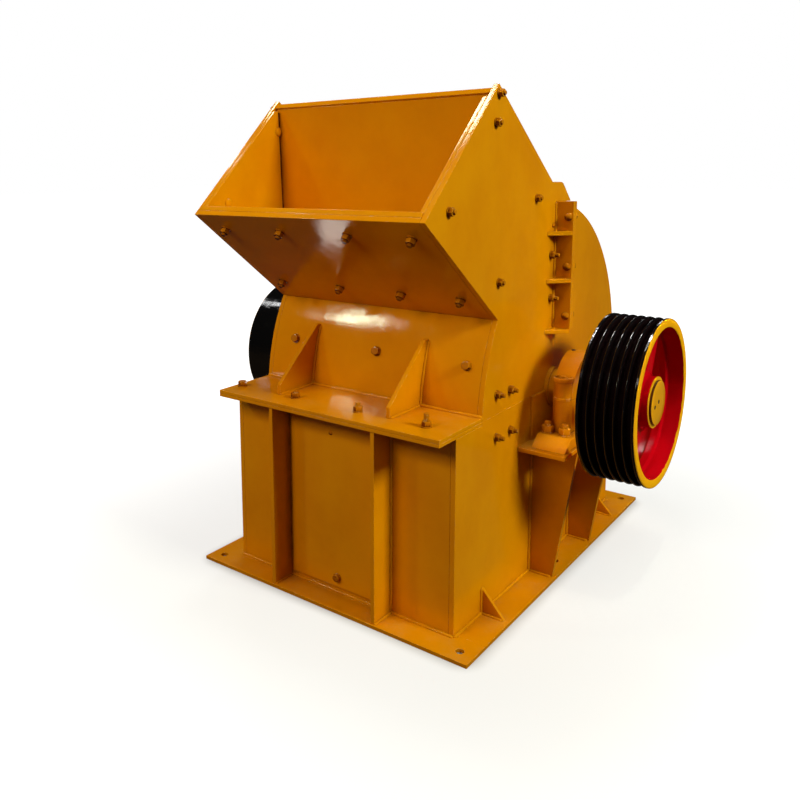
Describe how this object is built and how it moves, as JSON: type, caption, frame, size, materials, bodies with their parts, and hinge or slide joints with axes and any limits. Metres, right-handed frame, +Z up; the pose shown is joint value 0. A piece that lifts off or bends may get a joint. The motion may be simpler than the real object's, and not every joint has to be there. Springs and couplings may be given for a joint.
{
  "type": "hammer crusher",
  "caption": "Hammer crusher with a slanted feed hopper, a bolted plate casing on a flanged base, a rotor of hammers, a grooved drive pulley and a flywheel.",
  "frame": {"origin": "centre of the base frame on its underside, which is the centre of the anchor hole rectangle", "axes": "+X along the rotor shaft towards the drive pulley, +Y to the rear cover, +Z up; the hopper mouth faces -Y and up"},
  "size_m": [1.089, 1.071, 1.129],
  "materials": {
    "orange_paint": "gloss",
    "black_enamel": "high gloss",
    "red_paint": "gloss",
    "turned_steel": "turned",
    "raw_steel": "mill scale",
    "cast_hammer": "as cast"
  },
  "bodies": {
    "casing": {"base_front_flange": "orange_paint", "base_gussets": "orange_paint", "base_rear_flange": "orange_paint", "base_side_flanges": "orange_paint", "bearing_brackets": "orange_paint", "bearing_caps": "orange_paint", "bearing_feet": "orange_paint", "bearing_housings": "orange_paint", "bracket_webs": "orange_paint", "casing_front_plate": "orange_paint", "casing_hood_plate": "orange_paint", "cover_shell": "orange_paint", "cover_sides": "orange_paint", "front_ribs": "orange_paint", "front_sides": "orange_paint", "grate_bars": "raw_steel", "grate_rails": "raw_steel", "hopper_back_plate": "orange_paint", "hopper_floor_liner": "orange_paint", "hopper_floor_plate": "orange_paint", "hopper_roof_plate": "orange_paint", "hopper_side_liners": "orange_paint", "inspection_plate": "orange_paint", "lower_front_plate": "orange_paint", "lower_rear_plate": "orange_paint", "lower_sides": "orange_paint", "rear_flange_lower": "orange_paint", "rear_flange_upper": "orange_paint", "shaft_seals": "orange_paint", "shelf_gussets": "orange_paint", "shelf_plate_lower": "orange_paint", "shelf_plate_upper": "orange_paint", "side_pads": "orange_paint", "upright_flange_front": "orange_paint", "upright_flange_gussets": "orange_paint", "upright_flange_rear": "orange_paint"},
    "rotor": {"rotor_shaft": "turned_steel", "rotor_discs": "raw_steel", "rotor_spacers": "raw_steel", "hammer_pins": "turned_steel", "hammers": "cast_hammer", "drive_pulley_rim": "black_enamel", "drive_pulley_arms": "red_paint", "flywheel_rim": "black_enamel", "flywheel_arms": "red_paint"}
  },
  "joints": [
    {"name": "rotor_spin", "type": "hinge", "parent": "casing", "child": "rotor", "pos_m": [0, 0.025, 0.44], "axis": [1, 0, 0], "continuous": true}
  ]
}
